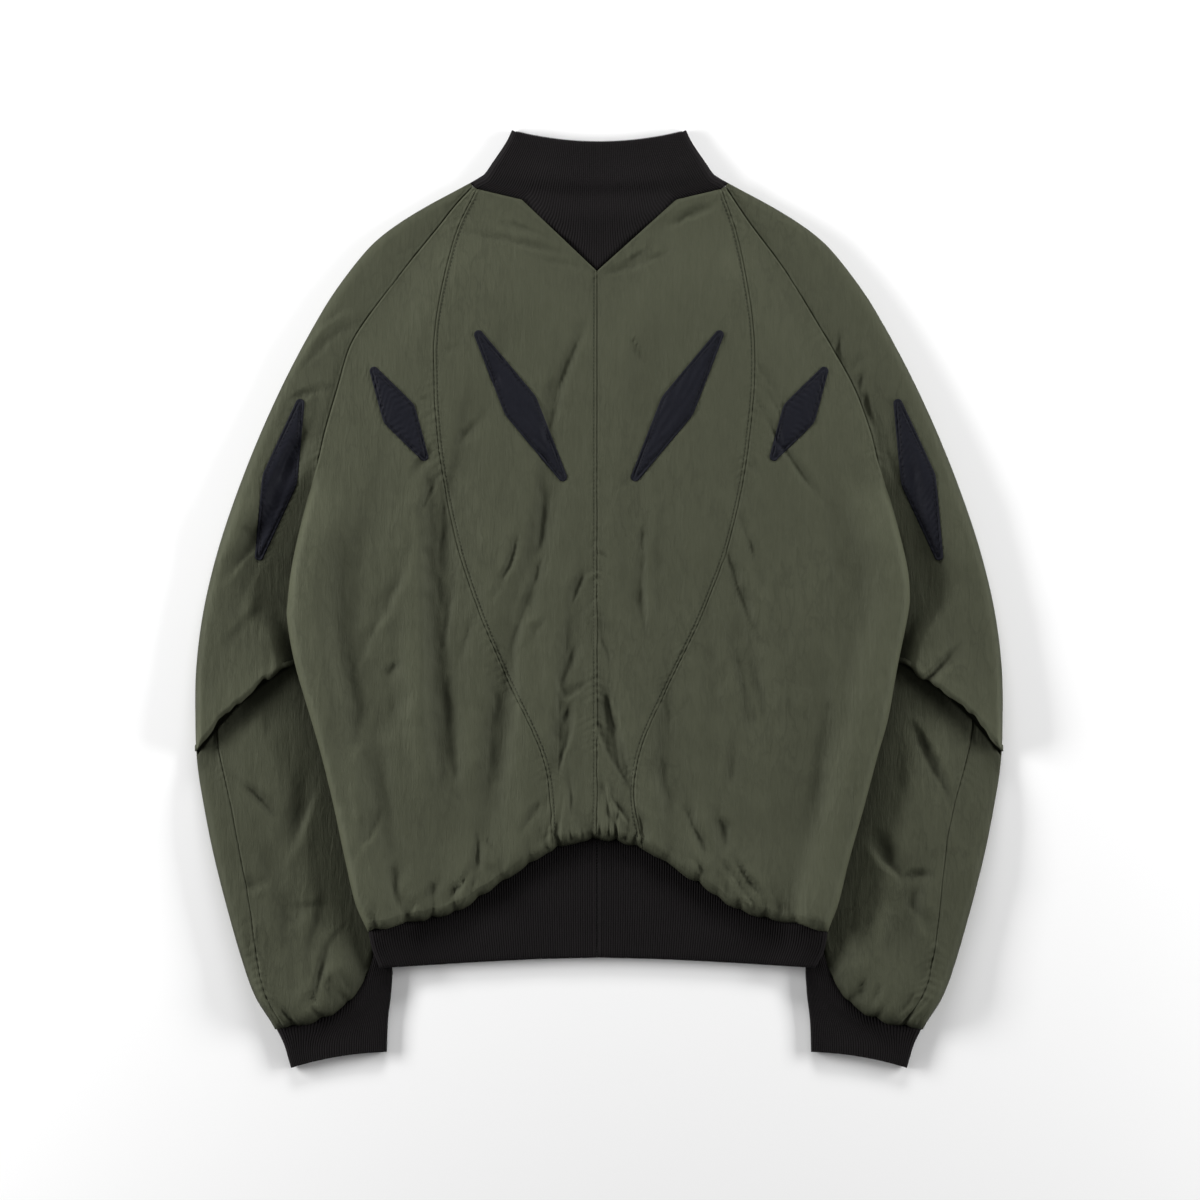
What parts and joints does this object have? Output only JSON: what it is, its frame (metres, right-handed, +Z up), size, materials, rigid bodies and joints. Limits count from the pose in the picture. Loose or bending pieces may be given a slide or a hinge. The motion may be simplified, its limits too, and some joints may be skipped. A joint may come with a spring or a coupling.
{
  "type": "bomber jacket",
  "caption": "Bomber jacket lying flat on its front, back side up, with raglan sleeves at its sides, a knitted collar with a pointed back, knitted cuffs, an arched knitted hem and a zip.",
  "frame": {"origin": "middle of the bounding box, on the surface that the jacket lies on", "axes": "+Z up, out of the jacket's back; +Y towards the collar; +X towards the wearer's right sleeve"},
  "size_m": [0.71, 0.8252, 0.0283],
  "materials": {
    "shell": "dull woven nylon, olive",
    "patch": "dull woven nylon, blue-black",
    "rib": "matt rib knit, black",
    "tape": "matt woven tape, black",
    "metal": "dark plated metal"
  },
  "bodies": {
    "jacket": {"back_middle_left": "shell", "back_middle_right": "shell", "back_side_left": "shell", "back_side_right": "shell", "front_left": "shell", "front_right": "shell", "sleeve_back_left": "shell", "sleeve_back_right": "shell", "sleeve_front_left": "shell", "sleeve_front_right": "shell", "patch_middle_left": "patch", "patch_middle_right": "patch", "patch_side_left": "patch", "patch_side_right": "patch", "patch_sleeve_left": "patch", "patch_sleeve_right": "patch", "collar_back": "rib", "collar_front_left": "rib", "collar_front_right": "rib", "hem_back_left": "rib", "hem_back_right": "rib", "hem_front_left": "rib", "hem_front_right": "rib", "cuff_left": "rib", "cuff_right": "rib", "zip_tape_left": "tape", "zip_tape_right": "tape", "zip_chain": "metal", "zip_slider": "metal"},
    "pull_tab": {"zip_pull": "metal"}
  },
  "joints": [
    {"name": "pull_tab_hinge", "type": "hinge", "parent": "jacket", "child": "pull_tab", "pos_m": [0, 0.366, 0.0009], "axis": [1, 0, 0], "range_deg": [0, 170]}
  ]
}
